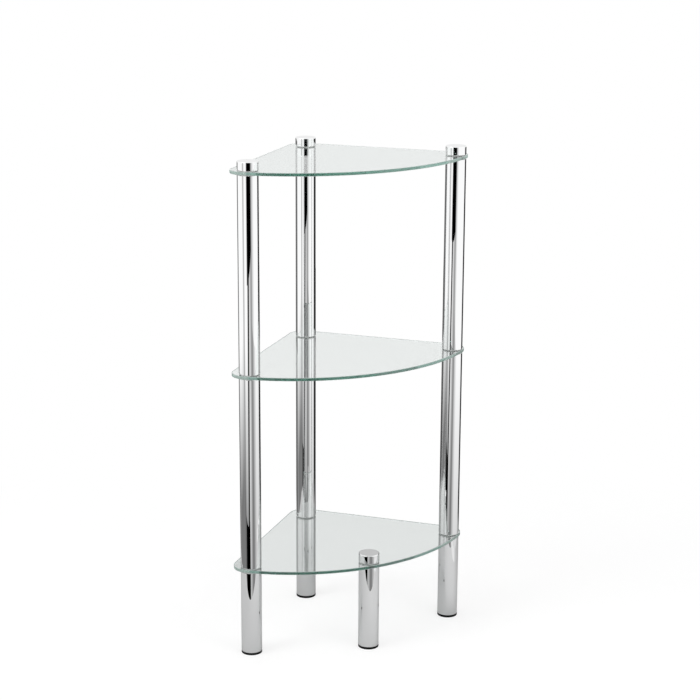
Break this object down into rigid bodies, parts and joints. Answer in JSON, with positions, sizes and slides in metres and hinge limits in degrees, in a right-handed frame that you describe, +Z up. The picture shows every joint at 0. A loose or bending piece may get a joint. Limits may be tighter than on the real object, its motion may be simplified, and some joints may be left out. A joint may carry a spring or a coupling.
{
  "type": "corner shelving unit",
  "caption": "Free-standing corner unit for a bathroom: quarter-round glass shelves on chromed tube posts, with a short leg under the front edge.",
  "frame": {"origin": "on the floor, under the middle of the bounding box", "axes": "+Z up along the posts; the straight edges of the glass face -X and +Y, as two walls of a corner would; the round front faces +X and -Y"},
  "size_m": [0.2917, 0.2917, 0.7694],
  "materials": {
    "chrome": "polished chrome plate on steel tube",
    "glass": "clear float glass with ground, polished edges that look green",
    "foot_plastic": "black moulded plastic",
    "steel": "zinc-plated steel, hidden inside the tubes",
    "washer_plastic": "thin clear plastic"
  },
  "bodies": {
    "root": {"back_bottom_washer_over": "washer_plastic", "back_bottom_washer_under": "washer_plastic", "back_cap": "chrome", "back_foot": "foot_plastic", "back_leg_insert": "steel", "back_leg_tube": "chrome", "back_lower_insert": "steel", "back_lower_stud_plug": "steel", "back_lower_tube": "chrome", "back_middle_washer_over": "washer_plastic", "back_middle_washer_under": "washer_plastic", "back_top_washer_over": "washer_plastic", "back_top_washer_under": "washer_plastic", "back_upper_insert": "steel", "back_upper_stud_plug": "steel", "back_upper_tube": "chrome", "bottom_shelf": "glass", "front_bottom_washer_over": "washer_plastic", "front_bottom_washer_under": "washer_plastic", "front_cap": "chrome", "front_foot": "foot_plastic", "front_leg_insert": "steel", "front_leg_tube": "chrome", "left_bottom_washer_over": "washer_plastic", "left_bottom_washer_under": "washer_plastic", "left_cap": "chrome", "left_foot": "foot_plastic", "left_leg_insert": "steel", "left_leg_tube": "chrome", "left_lower_insert": "steel", "left_lower_stud_plug": "steel", "left_lower_tube": "chrome", "left_middle_washer_over": "washer_plastic", "left_middle_washer_under": "washer_plastic", "left_top_washer_over": "washer_plastic", "left_top_washer_under": "washer_plastic", "left_upper_insert": "steel", "left_upper_stud_plug": "steel", "left_upper_tube": "chrome", "middle_shelf": "glass", "right_bottom_washer_over": "washer_plastic", "right_bottom_washer_under": "washer_plastic", "right_cap": "chrome", "right_foot": "foot_plastic", "right_leg_insert": "steel", "right_leg_tube": "chrome", "right_lower_insert": "steel", "right_lower_stud_plug": "steel", "right_lower_tube": "chrome", "right_middle_washer_over": "washer_plastic", "right_middle_washer_under": "washer_plastic", "right_top_washer_over": "washer_plastic", "right_top_washer_under": "washer_plastic", "right_upper_insert": "steel", "right_upper_stud_plug": "steel", "right_upper_tube": "chrome", "top_shelf": "glass"}
  },
  "joints": []
}
